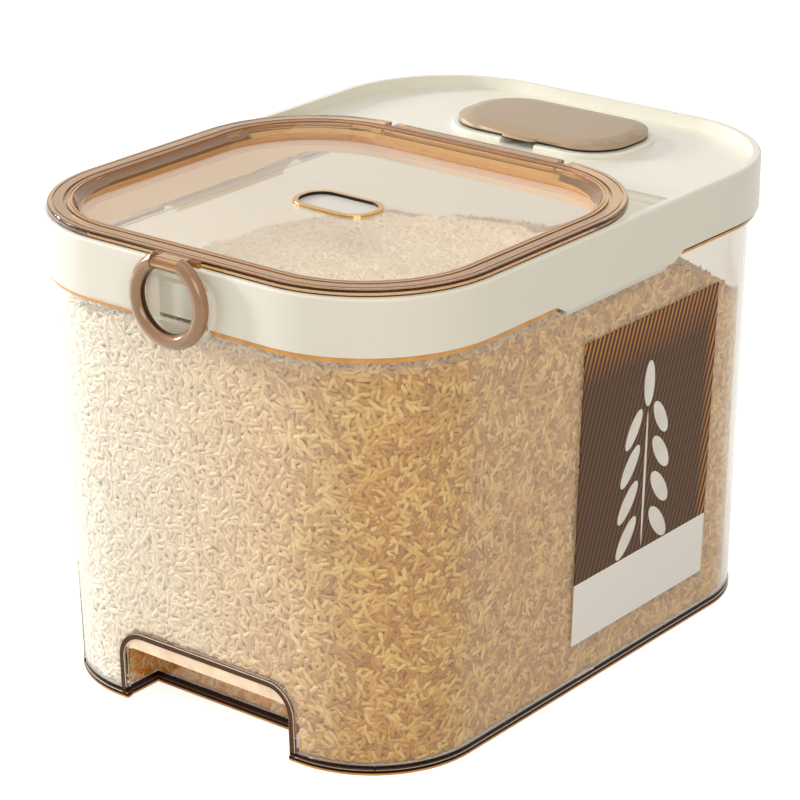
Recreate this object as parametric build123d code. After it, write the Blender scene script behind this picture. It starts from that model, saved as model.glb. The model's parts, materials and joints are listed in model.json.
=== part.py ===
from build123d import *
import math
import os

# Rice bin with a flip lid. Millimetres, +Z up, front towards -Y, right side +X.
# The origin is on the floor, in the middle of the collar's outline.

# ---- overall sizes ----
BIN_WIDTH = 234.6            # collar, across X
BIN_LENGTH = 325.0           # collar, along Y
BODY_HEIGHT = 199.6          # floor to the collar's lower edge
COLLAR_HEIGHT = 25.9
COLLAR_RADIUS = 67.0         # collar corners in plan

# ---- container ----
BODY_INSET = 4.55            # body wall inside the collar's outline, at the flange
SIDE_DRAFT = 5.7             # how far each wall leans in, flange to base
FRONT_DRAFT = 8.15
REAR_DRAFT = 3.15
BASE_RADIUS = 53.6
WALL = 2.5
FLOOR_THICKNESS = 2.8
FOOT_HEIGHT = 1.2            # the floor is raised on a rim and a cross
FOOT_WIDTH = 7.0
CROSS_WIDTH = 14.0
FLANGE_INSET = 1.2
FLANGE_THICKNESS = 2.3
NECK_INSET = 7.3
NECK_WALL = 2.3
BEAD_PROUD = 0.6             # raised edge along the base and round the recess
BEAD_HEIGHT = 2.4
RECESS_WIDTH = 99.0          # finger recess at the bottom of the front
RECESS_HEIGHT = 33.5
RECESS_RADIUS = 12.0
RECESS_DEPTH = 21.3
LIP_DROP = 6.1               # finger lip, below the recess's ceiling
LIP_SIDE = 0.8               # and inside the recess's sides
LIP_RADIUS = 6.0
RIB_WIDTH = 1.2              # short moulding ribs at the corners
RIB_PROUD = 0.5
RIB_HEIGHT = 54.0
RIB_ANGLE = 51.0             # degrees round the corner, from the side

# ---- label ----
LABEL_WIDTH = 108.3
LABEL_THICKNESS = 0.3
LABEL_OFF = 0.01             # glue under it
LABEL_BOTTOM = 23.0
LABEL_TOP_GAP = 27.1         # below the collar
LABEL_REAR_GAP = 5.85        # ahead of the rear corner's start

# ---- frame ----
SKIN = 2.5
RIM_THICKNESS = 4.0
PLATE = 2.5
CHANNEL_DEPTH = 11.0         # channel round the mouth, below the collar's top
DECK_DEPTH = 6.0             # rear deck, below the collar's top
DECK_LENGTH = 104.5          # collar's rear to the step down to the channel
SKIRT_RISE = 4.2             # mouth's skirt, above the collar's lower edge
SKIRT_END = 26.6             # the skirt stops this far ahead of the lid's rear
SKIRT_SLOPE = 3.0            # run to rise of the skirt's end
COAMING = 2.0
GRIP_LENGTH = 99.0           # side grips under the collar
GRIP_DROP = 4.0
GRIP_SLOPE = 7.5
GRIP_SHIFT = 1.0             # grips' middle, behind the collar's
GRIP_LIP_DROP = 7.0
GRIP_LIP = 1.8
GRIP_LIP_INSET = 3.0
RIM_ROUND = 1.4
POCKET_WIDTH = 35.2          # finger pocket behind the ring
POCKET_SILL = 1.6            # pocket floor, below the collar's lower edge
POCKET_HEIGHT = 20.6
POCKET_DEPTH = 4.1
POCKET_DRAFT = 4.0           # how far its side walls lean in
POCKET_WALL = 2.4
TONGUE_DROP = 9.2
TONGUE_RADIUS = 10.0

# ---- lid ----
LID_INSET = 2.0              # lid edge inside the collar's outline
LID_THICKNESS = 3.2
PANEL_SUNK = 4.8             # panel, below the lid's rim
PANEL_THICKNESS = 2.2
PANEL_STEP = 2.5             # panel's edge, inside the plug's outer face
SLOPE_RUN = 4.1              # width of the fall from the rim to the panel
SLOPE_DROP = 0.8
LID_ROUND = 0.9
GROOVES = ((2.3, 0.7, 0.6), (7.3, 1.3, 1.2), (9.9, 0.5, 0.4))   # inset, width, depth
MOUTH_INSET = 12.3           # mouth inside the lid's edge
PLUG_WALL = 1.6
PLUG_GAP = 0.7
PLUG_DEPTH = 9.8             # plug, below the rim's underside
LID_GASKET_HEIGHT = 3.3
GASKET_OUT = 1.0             # lid gasket beyond the coaming
HINGE_DROP = 1.3             # hinge axis, below the rim's underside
HINGE_BACK = 2.6             # hinge axis, ahead of the lid's rear edge
HINGE_CHANNEL = 5.4          # lid's rear edge to the deck
KNUCKLE_RADIUS = 2.6
KNUCKLE_LENGTH = 96.8
LUG_WIDTH = 4.6
LUG_RADIUS = 2.8
ROD_RADIUS = 1.5

# ---- badge ----
BADGE_WIDTH = 45.0
BADGE_LENGTH = 25.6
BADGE_RADIUS = 12.0
BEZEL_WIDTH = 2.6
BEZEL_PROUD = 1.1
BADGE_SUNK = 1.2
BADGE_PLATE = 0.8
BADGE_FIT = 0.05
BEZEL_ROUND = 0.5

# ---- ring ----
RING_RADIUS = 18.2
RING_TUBE = 3.5
RING_OUT = 5.1               # ring's plane, ahead of the collar
RING_BAR_SINK = 0.3          # bar, below the ends of the ring's arc
RING_BAR_RAISE = 0.5         # bar, above the rim's underside
RING_BAR_RADIUS = 1.4
HANGER_RADIUS = 2.9
HANGER_WIDTH = 15.0
HANGER_SLOT = 2.3
TAB_WIDTH = 26.0
TAB_PROUD = 2.0
TAB_STEP = 0.5

# ---- small box on the deck ----
BOX_FROM_REAR = 51.3         # box's centre, ahead of the collar's rear
CAP_WIDTH = 96.5
CAP_LENGTH = 53.5
CAP_RADIUS = 22.0
CAP_LIFT = 0.7               # cap above the boss
CAP_EDGE = 2.6
CAP_DOME = 1.6
CAP_DOME_INSET = 7.0
CAP_ROUND = 4.0
CAP_PLUG = 5.0
CAP_PLUG_WALL = 1.6
CAP_TAB_WIDTH = 20.0
CAP_TAB_PROUD = 3.2
CAP_TAB = 1.6
BOSS_MARGIN = 3.2            # boss beyond the cap, all round
BOSS_HEIGHT = 2.3
BOSS_ROUND = 1.0
BOX_FLANGE_INSET = 3.2       # box flange inside the cap's outline
BOX_FLANGE = 1.2
BOX_BODY_INSET = 6.4
BOX_WALL = 1.6
BOX_DEPTH = 29.8
BOX_ROUND = 2.0
BOX_SKIRT = 1.8
BOX_SKIRT_DEPTH = 13.5       # skirt round the box, below the deck
BOX_GASKET = 1.2             # gasket's thickness round the cap's plug
SLOT_WIDTH = 2.0
SLOT_PITCH = 6.0
SLOT_LOW = 4.0               # side slots start above the box's floor
SLOT_CLEAR = 1.0             # and end below the skirt
SLOT_MARGIN = 8.0            # floor slots, inside the box's wall

# ---- clearances ----
SEAT_GAP = 0.3               # faces that rest on each other, on different bodies
PIN_GAP = 0.06               # radial, at a turning pin
SIDE_GAP = 0.5               # beside a moving piece
GASKET_OVER = 0.4            # frame gasket wider than the neck, each side
GASKET_HEIGHT = 2.2
SEAT_RIB = 0.6               # rib inside that gasket

PART_DIR = "parts"
TALL = 400.0                 # longer than the bin, for cutting blocks

FRONT = -BIN_LENGTH / 2
REAR = BIN_LENGTH / 2
SIDE = BIN_WIDTH / 2
COLLAR_BOTTOM = BODY_HEIGHT
COLLAR_TOP = BODY_HEIGHT + COLLAR_HEIGHT
FLANGE_TOP = COLLAR_BOTTOM - SEAT_GAP
FLANGE_BOTTOM = FLANGE_TOP - FLANGE_THICKNESS
CHANNEL_FLOOR = COLLAR_TOP - CHANNEL_DEPTH
DECK_TOP = COLLAR_TOP - DECK_DEPTH
DECK_FRONT = REAR - DECK_LENGTH
SEAT_Z = CHANNEL_FLOOR - PLATE
NECK_TOP = SEAT_Z - GASKET_HEIGHT - SEAT_GAP
LID_BOTTOM = COLLAR_TOP + SEAT_GAP
LID_TOP = LID_BOTTOM + LID_THICKNESS
LID_FRONT = FRONT + LID_INSET
LID_REAR = DECK_FRONT - HINGE_CHANNEL
LID_WIDTH = BIN_WIDTH - 2 * LID_INSET
LID_LENGTH = LID_REAR - LID_FRONT
LID_Y = (LID_REAR + LID_FRONT) / 2
LID_RADIUS = COLLAR_RADIUS - LID_INSET
PANEL_TOP = LID_TOP - PANEL_SUNK
PLUG_INSET = MOUTH_INSET + PLUG_GAP
PANEL_INSET = PLUG_INSET + PANEL_STEP
SLOPE_INSET = PANEL_INSET - SLOPE_RUN
COAMING_TOP = LID_BOTTOM - LID_GASKET_HEIGHT - SEAT_GAP
HINGE_Y = LID_REAR - HINGE_BACK
HINGE_Z = LID_BOTTOM - HINGE_DROP
LUG_X = KNUCKLE_LENGTH / 2 + SEAT_GAP + LUG_WIDTH / 2
RING_Y = FRONT - RING_OUT
RING_BAR_Z = LID_BOTTOM + RING_BAR_RAISE
RING_END = HANGER_WIDTH / 2 + SEAT_GAP
RING_Z = RING_BAR_Z + RING_BAR_SINK - math.sqrt(RING_RADIUS ** 2 - RING_END ** 2)
BOX_Y = REAR - BOX_FROM_REAR
BOSS_TOP = DECK_TOP + BOSS_HEIGHT
CAP_BOTTOM = BOSS_TOP + CAP_LIFT
CAP_TOP = CAP_BOTTOM + CAP_EDGE
CAP_FRONT = BOX_Y - CAP_LENGTH / 2


def rounded(width, length, radius, x, y, z):
    return Pos(x, y, z) * RectangleRounded(width, length, min(radius, width / 2 - 0.01, length / 2 - 0.01))


def prism(face, height):
    return extrude(face, amount=height, dir=(0, 0, 1))


def collar_plan(inset, low, high):
    """A block with the collar's outline, drawn in by inset."""
    face = rounded(BIN_WIDTH - 2 * inset, BIN_LENGTH - 2 * inset, COLLAR_RADIUS - inset, 0, 0, low)
    return prism(face, high - low)


def lid_face(inset, z):
    return rounded(LID_WIDTH - 2 * inset, LID_LENGTH - 2 * inset, LID_RADIUS - inset, 0, LID_Y, z)


def lid_plan(inset, low, high):
    """A block with the lid's outline, drawn in by inset."""
    return prism(lid_face(inset, low), high - low)


def box_face(inset, z):
    return rounded(CAP_WIDTH - 2 * inset, CAP_LENGTH - 2 * inset, CAP_RADIUS - inset, 0, BOX_Y, z)


def box_plan(inset, low, high):
    """A block with the small box's outline, drawn in by inset."""
    return prism(box_face(inset, low), high - low)


def block(x0, x1, y0, y1, z0, z1):
    return Pos((x0 + x1) / 2, (y0 + y1) / 2, (z0 + z1) / 2) * Box(x1 - x0, y1 - y0, z1 - z0)


def side_outline(points, x0, x1):
    """Extrudes a closed outline of (y, z) points from x0 to x1."""
    face = make_face(Polyline(*[(x0, y, z) for y, z in points], close=True))
    return extrude(face, amount=x1 - x0, dir=(1, 0, 0))


def arched(width, high, radius, y0, y1):
    """A block with two round upper corners, from under the floor up to high, from y0 to y1."""
    low = -1.0
    sketch = Plane.XZ * Pos(0, (high + low) / 2) * Rectangle(width, high - low)
    sketch = fillet(sketch.vertices().group_by(Axis.Z)[-1], radius)
    return Pos(0, y0, 0) * extrude(sketch, amount=y1 - y0, dir=(0, 1, 0))


def arch(grow, y0, y1):
    """The finger recess's block, grown all round."""
    return arched(RECESS_WIDTH + 2 * grow, RECESS_HEIGHT + grow, RECESS_RADIUS + grow, y0, y1)


def cylinder_x(radius, length, y, z, x=0.0):
    return Pos(x, y, z) * Rot(0, 90, 0) * Cylinder(radius, length)


def body_size(z):
    """Width, length, corner radius and middle of the tapered body's outline at height z."""
    lean = 1 - z / FLANGE_TOP
    width = BIN_WIDTH - 2 * BODY_INSET - 2 * SIDE_DRAFT * lean
    length = BIN_LENGTH - 2 * BODY_INSET - (FRONT_DRAFT + REAR_DRAFT) * lean
    radius = COLLAR_RADIUS - BODY_INSET + (BASE_RADIUS - COLLAR_RADIUS + BODY_INSET) * lean
    return width, length, radius, (FRONT_DRAFT - REAR_DRAFT) / 2 * lean


def body_section(inset, z):
    width, length, radius, y = body_size(z)
    return rounded(width - 2 * inset, length - 2 * inset, radius - inset, 0, y, z)


def body_block(inset, low, high):
    return loft([body_section(inset, low), body_section(inset, high)], ruled=True)


def both_sides(piece):
    return [piece, mirror(piece, Plane.YZ)]


def corner_rib(sx, sy):
    """A short rib that leans with a corner's wall."""
    faces = []
    angle = math.radians(RIB_ANGLE)
    for z in (BEAD_HEIGHT / 2, RIB_HEIGHT):
        width, length, radius, middle = body_size(z)
        reach = radius - WALL / 2
        x = sx * (width / 2 - radius + reach * math.cos(angle))
        y = middle + sy * (length / 2 - radius + reach * math.sin(angle))
        turn = math.degrees(math.atan2(sy * math.sin(angle), sx * math.cos(angle)))
        faces.append(Pos(x, y, z) * Rot(0, 0, turn) * Rectangle(WALL + 2 * RIB_PROUD, RIB_WIDTH))
    return loft(faces, ruled=True)


def make_foot_pockets(back):
    """What is cut from under the floor, between the foot rim, the cross and the recess."""
    half = CROSS_WIDTH / 2
    reach = RECESS_WIDTH / 2 + FOOT_WIDTH
    pockets = prism(body_section(FOOT_WIDTH, 0), FOOT_HEIGHT)
    pockets -= block(-reach, reach, -TALL, back + FOOT_WIDTH, -1, TALL)
    pockets -= block(-half, half, -TALL, TALL, -1, TALL)
    return pockets - block(-TALL, TALL, -half, half, -1, TALL)


def make_container():
    width, length, radius, middle = body_size(0)
    front = middle - length / 2
    back = front + RECESS_DEPTH
    bead_zone = arch(BEAD_HEIGHT, -TALL, front + WALL) - arch(0, -TALL, front + WALL)
    bead_zone += block(-TALL, TALL, -TALL, TALL, 0, BEAD_HEIGHT)
    outer = body_block(0, 0, FLANGE_TOP) + (body_block(-BEAD_PROUD, 0, 2 * RECESS_HEIGHT) & bead_zone)
    for sx, sy in ((1, 1), (1, -1), (-1, 1), (-1, -1)):
        outer += corner_rib(sx, sy)
    cavity = body_block(WALL, FOOT_HEIGHT + FLOOR_THICKNESS, FLANGE_TOP) - arch(WALL, -TALL, back + WALL)
    finger_room = arch(0, -TALL, back) & body_block(WALL, -1, 2 * RECESS_HEIGHT)
    way_in = arched(RECESS_WIDTH - 2 * LIP_SIDE, RECESS_HEIGHT - LIP_DROP, LIP_RADIUS, -TALL, back)
    shell = outer - cavity - make_foot_pockets(back) - finger_room - way_in
    neck = collar_plan(NECK_INSET, FLANGE_BOTTOM, NECK_TOP)
    bore = collar_plan(NECK_INSET + NECK_WALL, FLANGE_BOTTOM - 1, NECK_TOP + 1)
    return shell + (make_flange() + neck - bore)


def make_flange():
    """The flange under the collar, cut away for the frame's side grips and tongue."""
    flange = collar_plan(FLANGE_INSET, FLANGE_BOTTOM, FLANGE_TOP)
    low, high = FLANGE_BOTTOM - 1, FLANGE_TOP + 1
    reach = GRIP_LENGTH / 2 + 2 * SIDE_GAP
    inside = SIDE - BODY_INSET + SIDE_GAP / 2
    for cut in both_sides(block(inside, SIDE, GRIP_SHIFT - reach, GRIP_SHIFT + reach, low, high)):
        flange -= cut
    reach = POCKET_WIDTH / 2 + 2 * SIDE_GAP
    return flange - block(-reach, reach, FRONT, FRONT + POCKET_DEPTH + SIDE_GAP / 2, low, high)


def make_label():
    """A thin sheet on the right wall, tilted with it."""
    tilt = math.degrees(math.atan(SIDE_DRAFT / FLANGE_TOP))
    off = LABEL_THICKNESS / 2 + LABEL_OFF
    height = COLLAR_BOTTOM - LABEL_TOP_GAP - LABEL_BOTTOM
    middle = LABEL_BOTTOM + height / 2
    y = REAR - COLLAR_RADIUS - LABEL_REAR_GAP - LABEL_WIDTH / 2
    sheet = Pos(off, 0, 0) * Box(LABEL_THICKNESS, LABEL_WIDTH, height)
    return Pos(body_size(middle)[0] / 2, y, middle) * Rot(0, tilt, 0) * sheet


def side_grip():
    """The grip under the collar on the +X side: its apron and the lip inside it."""
    front, rear = GRIP_SHIFT - GRIP_LENGTH / 2, GRIP_SHIFT + GRIP_LENGTH / 2
    low, high = COLLAR_BOTTOM - GRIP_DROP, COLLAR_BOTTOM + SKIN
    points = [(front, high), (front, COLLAR_BOTTOM), (front + GRIP_SLOPE, low)]
    points += [(rear - GRIP_SLOPE, low), (rear, COLLAR_BOTTOM), (rear, high)]
    return side_outline(points, SIDE - SKIN, SIDE) + grip_lip()


def grip_lip():
    half = GRIP_LENGTH / 2 - GRIP_SLOPE - GRIP_LIP_INSET
    return block(SIDE - RIM_THICKNESS, SIDE - RIM_THICKNESS + GRIP_LIP, GRIP_SHIFT - half, GRIP_SHIFT + half,
                 COLLAR_BOTTOM - GRIP_LIP_DROP, COLLAR_BOTTOM + SKIN)


def frame_hollow():
    """What is cut from under the frame, round the skirts and the pocket's back."""
    hollow = collar_plan(SKIN, COLLAR_BOTTOM - 1, SEAT_Z)
    half, back = POCKET_WIDTH / 2, FRONT + POCKET_DEPTH
    hollow -= block(-half - POCKET_WALL, half + POCKET_WALL, FRONT, back + POCKET_WALL, COLLAR_BOTTOM, TALL)
    hollow -= block(-half, half, FRONT, back, 0, TALL)
    for lip in both_sides(grip_lip()):
        hollow -= lip
    skirt = lid_plan(MOUTH_INSET - COAMING, COLLAR_BOTTOM + SKIRT_RISE, TALL)
    skirt -= block(-TALL, TALL, LID_REAR - SKIRT_END, TALL, 0, TALL)
    hollow -= skirt - wedge_ahead(LID_REAR - SKIRT_END)
    seat = NECK_INSET + NECK_WALL + GASKET_OVER + SEAT_RIB
    under_deck = collar_plan(seat, COLLAR_BOTTOM, DECK_TOP - PLATE)
    hollow += under_deck & block(-TALL, TALL, DECK_FRONT + PLATE, TALL, 0, TALL)
    return hollow - box_plan(BOX_BODY_INSET - BOX_SKIRT - SIDE_GAP, DECK_TOP - BOX_SKIRT_DEPTH, TALL)


def frame_top_cut():
    """The open top: the channel in front with the coaming left in it, the deck behind."""
    channel = collar_plan(RIM_THICKNESS, CHANNEL_FLOOR, COLLAR_TOP + 1)
    channel &= block(-TALL, TALL, -TALL, DECK_FRONT, 0, TALL)
    channel -= lid_plan(MOUTH_INSET - COAMING, CHANNEL_FLOOR, COAMING_TOP)
    deck = collar_plan(RIM_THICKNESS, DECK_TOP, COLLAR_TOP + 1)
    return channel + (deck & block(-TALL, TALL, DECK_FRONT, TALL, 0, TALL))


def make_frame():
    frame = collar_plan(0, COLLAR_BOTTOM, COLLAR_TOP)
    frame = fillet(frame.edges().group_by(Axis.Z)[-1], RIM_ROUND)
    for grip in both_sides(side_grip()):
        frame += grip
    frame += tongue()
    frame -= frame_hollow()
    frame -= frame_top_cut()
    frame -= lid_plan(MOUTH_INSET, 0, TALL)
    boss = box_plan(-BOSS_MARGIN, DECK_TOP, BOSS_TOP)
    boss = fillet(boss.edges().group_by(Axis.Z)[-1], BOSS_ROUND)
    notch = Cylinder(CAP_TAB_WIDTH / 2, BOSS_HEIGHT)
    frame += boss - Pos(0, CAP_FRONT - BOSS_MARGIN, DECK_TOP + BOSS_HEIGHT / 2) * notch
    frame -= box_plan(BOX_FLANGE_INSET - SIDE_GAP, BOSS_TOP - BOX_FLANGE, TALL)
    frame -= box_plan(BOX_BODY_INSET - SIDE_GAP, 0, TALL)
    frame -= pocket_cut()
    for x in (-LUG_X, LUG_X):
        half = LUG_WIDTH / 2
        frame += block(x - half, x + half, HINGE_Y - LUG_RADIUS, HINGE_Y + LUG_RADIUS, CHANNEL_FLOOR, HINGE_Z)
        frame += cylinder_x(LUG_RADIUS, LUG_WIDTH, HINGE_Y, HINGE_Z, x)
        frame -= cylinder_x(ROD_RADIUS, LUG_WIDTH + 2, HINGE_Y, HINGE_Z, x)
    return frame


def wedge_ahead(y):
    """Slopes the skirt's lower edge up to the plate over its last stretch before y."""
    low = COLLAR_BOTTOM + SKIRT_RISE
    start = y - SKIRT_SLOPE * (SEAT_Z - low)
    return side_outline([(y, low - 1), (y, SEAT_Z), (start, low), (start, low - 1)], -TALL / 2, TALL / 2)


def tongue():
    """The collar's tongue under the pocket, with round lower corners."""
    low, high = COLLAR_BOTTOM - TONGUE_DROP, COLLAR_BOTTOM + SKIN
    sketch = Plane.XZ * Pos(0, (high + low) / 2) * Rectangle(POCKET_WIDTH, high - low)
    sketch = fillet(sketch.vertices().group_by(Axis.Z)[0], TONGUE_RADIUS)
    return Pos(0, FRONT, 0) * extrude(sketch, amount=POCKET_DEPTH, dir=(0, 1, 0))


def pocket_cut():
    """The pocket narrows as it goes in; its floor stays flat."""
    faces = []
    for depth in (-1.0, POCKET_DEPTH):
        lean = POCKET_DRAFT * depth / POCKET_DEPTH
        height = POCKET_HEIGHT - lean / 2
        middle = COLLAR_BOTTOM - POCKET_SILL + height / 2
        plane = Plane(origin=(0, FRONT + depth, middle), x_dir=(1, 0, 0), z_dir=(0, -1, 0))
        faces.append(plane * Rectangle(POCKET_WIDTH - 2 * lean, height))
    return loft(faces, ruled=True)


def ring_hanger(lid):
    """The lid's front tab and the slotted snap hanger that holds the ring's bar."""
    root = LID_FRONT + LID_INSET
    lid += block(-TAB_WIDTH / 2, TAB_WIDTH / 2, LID_FRONT - TAB_PROUD, root, LID_BOTTOM, LID_TOP - TAB_STEP)
    half = HANGER_WIDTH / 2
    lid += block(-half, half, RING_Y, root, LID_BOTTOM, LID_TOP - TAB_STEP / 2)
    lid += cylinder_x(HANGER_RADIUS, HANGER_WIDTH, RING_Y, RING_BAR_Z)
    lid -= cylinder_x(RING_BAR_RADIUS + PIN_GAP, HANGER_WIDTH + 2, RING_Y, RING_BAR_Z)
    return lid - block(-half - 1, half + 1, RING_Y - HANGER_SLOT / 2, RING_Y + HANGER_SLOT / 2,
                       RING_BAR_Z - HANGER_RADIUS - 1, RING_BAR_Z)


def make_lid():
    lid = lid_plan(0, LID_BOTTOM, LID_TOP)
    lid = fillet(lid.edges().group_by(Axis.Z)[-1], LID_ROUND)
    lid += lid_plan(PLUG_INSET, PANEL_TOP - PANEL_THICKNESS, LID_BOTTOM + 1)
    slope_top = LID_TOP - SLOPE_DROP
    lid -= lid_plan(SLOPE_INSET, slope_top, TALL)
    lid -= loft([lid_face(PANEL_INSET, PANEL_TOP), lid_face(SLOPE_INSET, slope_top)], ruled=True)
    for inset, width, depth in GROOVES:
        lid -= lid_plan(inset, LID_TOP - depth, LID_TOP + 1) - lid_plan(inset + width, 0, TALL)
    plug = lid_plan(PLUG_INSET, LID_BOTTOM - PLUG_DEPTH, PANEL_TOP - PANEL_THICKNESS / 2)
    lid += plug - lid_plan(PLUG_INSET + PLUG_WALL, 0, TALL)
    lid += cylinder_x(KNUCKLE_RADIUS, KNUCKLE_LENGTH, HINGE_Y, HINGE_Z)
    lid -= cylinder_x(ROD_RADIUS + PIN_GAP, KNUCKLE_LENGTH + 2, HINGE_Y, HINGE_Z)
    for x in (-LUG_X, LUG_X):
        half = LUG_WIDTH / 2 + SEAT_GAP
        lid -= block(x - half, x + half, HINGE_Y - LUG_RADIUS - SIDE_GAP, LID_REAR + 1, LID_BOTTOM - 1, TALL)
    lid = ring_hanger(lid)
    return lid - badge_block(0, PANEL_TOP - BADGE_SUNK, TALL)


def badge_block(inset, low, high):
    face = rounded(BADGE_WIDTH - 2 * inset, BADGE_LENGTH - 2 * inset, BADGE_RADIUS - inset, 0, LID_Y, low)
    return prism(face, high - low)


def make_badge():
    low = PANEL_TOP - BADGE_SUNK
    bezel = badge_block(BADGE_FIT, low, PANEL_TOP + BEZEL_PROUD)
    bezel = fillet(bezel.edges().group_by(Axis.Z)[-1], BEZEL_ROUND)
    bezel -= badge_block(BEZEL_WIDTH, low - 1, TALL)
    return bezel, badge_block(BEZEL_WIDTH + BADGE_FIT, low, low + BADGE_PLATE)


def make_ring():
    """A ring open at the top, closed there by its thin bar."""
    ring = Pos(0, RING_Y, RING_Z) * Rot(90, 0, 0) * Torus(RING_RADIUS, RING_TUBE)
    ring -= block(-RING_END, RING_END, RING_Y - 2 * RING_TUBE, RING_Y + 2 * RING_TUBE, RING_Z, TALL)
    return ring + cylinder_x(RING_BAR_RADIUS, 2 * RING_END + RING_TUBE, RING_Y, RING_BAR_Z)


def make_box():
    """The hanging box, with slots through its long sides and its floor."""
    low = BOSS_TOP - BOX_DEPTH
    box = box_plan(BOX_BODY_INSET, low, BOSS_TOP)
    box = fillet(box.edges().group_by(Axis.Z)[0], BOX_ROUND)
    box += box_plan(BOX_FLANGE_INSET, BOSS_TOP - BOX_FLANGE + SEAT_GAP, BOSS_TOP)
    box -= box_plan(BOX_BODY_INSET + BOX_WALL, low + BOX_WALL, TALL)
    slot_top = DECK_TOP - BOX_SKIRT_DEPTH - SLOT_CLEAR
    reach = CAP_LENGTH / 2 - BOX_BODY_INSET - BOX_WALL - SLOT_MARGIN
    count = int((CAP_WIDTH - 2 * CAP_RADIUS) / SLOT_PITCH)
    for k in range(count):
        x = (k - (count - 1) / 2) * SLOT_PITCH
        x0, x1 = x - SLOT_WIDTH / 2, x + SLOT_WIDTH / 2
        box -= block(x0, x1, BOX_Y - CAP_LENGTH, BOX_Y + CAP_LENGTH, low + SLOT_LOW, slot_top)
        box -= block(x0, x1, BOX_Y - reach, BOX_Y + reach, low - 1, low + BOX_WALL + 1)
    return box


def make_cap():
    """The domed cap with its finger tab and plug, and the gasket round the plug."""
    cap = box_plan(0, CAP_BOTTOM, CAP_TOP)
    cap += loft([box_face(0, CAP_TOP), box_face(CAP_DOME_INSET, CAP_TOP + CAP_DOME)], ruled=True)
    cap = fillet(cap.edges().group_by(Axis.Z)[-1], CAP_ROUND)
    tab = rounded(CAP_TAB_WIDTH, 2 * CAP_TAB_PROUD, CAP_TAB_PROUD, 0, CAP_FRONT, CAP_BOTTOM)
    cap += prism(tab, CAP_TAB)
    inset = BOX_BODY_INSET + BOX_WALL + SIDE_GAP + BOX_GASKET
    cap += box_plan(inset, CAP_BOTTOM - CAP_PLUG, CAP_BOTTOM) - box_plan(inset + CAP_PLUG_WALL, 0, CAP_BOTTOM)
    gasket = box_plan(inset - BOX_GASKET, CAP_BOTTOM - 3 * BOX_GASKET, CAP_BOTTOM - BOX_GASKET)
    return cap, gasket - box_plan(inset, 0, TALL)


def make_gaskets():
    lid_gasket = lid_plan(MOUTH_INSET - COAMING - GASKET_OUT, COAMING_TOP + SEAT_GAP, LID_BOTTOM)
    lid_gasket -= lid_plan(PLUG_INSET, 0, TALL)
    outer, inner = NECK_INSET - GASKET_OVER, NECK_INSET + NECK_WALL + GASKET_OVER
    frame_gasket = collar_plan(outer, NECK_TOP + SEAT_GAP, SEAT_Z) - collar_plan(inner, 0, TALL)
    return lid_gasket, frame_gasket


def make_rod():
    return cylinder_x(ROD_RADIUS, 2 * LUG_X + LUG_WIDTH - 2 * SEAT_GAP, HINGE_Y, HINGE_Z)


def main():
    bezel, plate = make_badge()
    cap, cap_gasket = make_cap()
    lid_gasket, frame_gasket = make_gaskets()
    parts = {
        "container_shell": make_container(),
        "side_label": make_label(),
        "top_frame": make_frame(),
        "frame_gasket": frame_gasket,
        "hinge_rod": make_rod(),
        "flip_lid": make_lid(),
        "lid_gasket": lid_gasket,
        "badge_bezel": bezel,
        "badge_plate": plate,
        "pull_ring": make_ring(),
        "desiccant_box": make_box(),
        "box_cap": cap,
        "box_gasket": cap_gasket,
    }
    os.makedirs(PART_DIR, exist_ok=True)
    for name, part in parts.items():
        export_step(part, os.path.join(PART_DIR, name + ".step"))
        print(name, "solids", len(part.solids()), "volume", round(part.volume, 1))


main()
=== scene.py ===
import bpy
import bmesh
import json
import math
import numpy as np
from mathutils import Matrix, Vector

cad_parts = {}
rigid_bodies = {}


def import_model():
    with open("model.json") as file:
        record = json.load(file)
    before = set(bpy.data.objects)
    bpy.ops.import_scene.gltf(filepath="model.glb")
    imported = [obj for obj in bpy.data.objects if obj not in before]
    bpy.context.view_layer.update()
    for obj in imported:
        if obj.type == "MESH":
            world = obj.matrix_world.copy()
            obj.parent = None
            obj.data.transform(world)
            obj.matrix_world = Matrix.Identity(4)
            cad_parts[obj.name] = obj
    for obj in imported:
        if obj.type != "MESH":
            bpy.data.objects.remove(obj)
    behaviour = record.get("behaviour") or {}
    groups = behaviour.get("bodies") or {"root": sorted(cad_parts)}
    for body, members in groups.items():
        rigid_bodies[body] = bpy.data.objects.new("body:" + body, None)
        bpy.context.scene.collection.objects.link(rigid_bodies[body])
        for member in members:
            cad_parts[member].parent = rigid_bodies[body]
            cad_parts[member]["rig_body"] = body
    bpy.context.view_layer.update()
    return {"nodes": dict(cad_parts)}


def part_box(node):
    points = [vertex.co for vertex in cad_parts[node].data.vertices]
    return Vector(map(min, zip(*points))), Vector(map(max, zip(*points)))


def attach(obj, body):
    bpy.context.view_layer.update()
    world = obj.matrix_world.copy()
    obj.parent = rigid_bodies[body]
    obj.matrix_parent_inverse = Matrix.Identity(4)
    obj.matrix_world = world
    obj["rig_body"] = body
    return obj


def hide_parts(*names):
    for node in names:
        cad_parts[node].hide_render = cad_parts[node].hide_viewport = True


# Rice bin with a flip lid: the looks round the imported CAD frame. Metres, +Z up, front towards -Y.
# Sizes and places in the dictionaries are in millimetres and turns in degrees, unless a note says otherwise.

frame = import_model()
mm = 0.001
print("frame loaded:", len(frame["nodes"]), "nodes")


def linear(code):
    # sRGB hex to the linear colour that shaders take
    parts = [int(code[i:i + 2], 16) / 255 for i in (1, 3, 5)]
    return tuple(p / 12.92 if p <= 0.04045 else ((p + 0.055) / 1.055) ** 2.4 for p in parts) + (1.0,)


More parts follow.
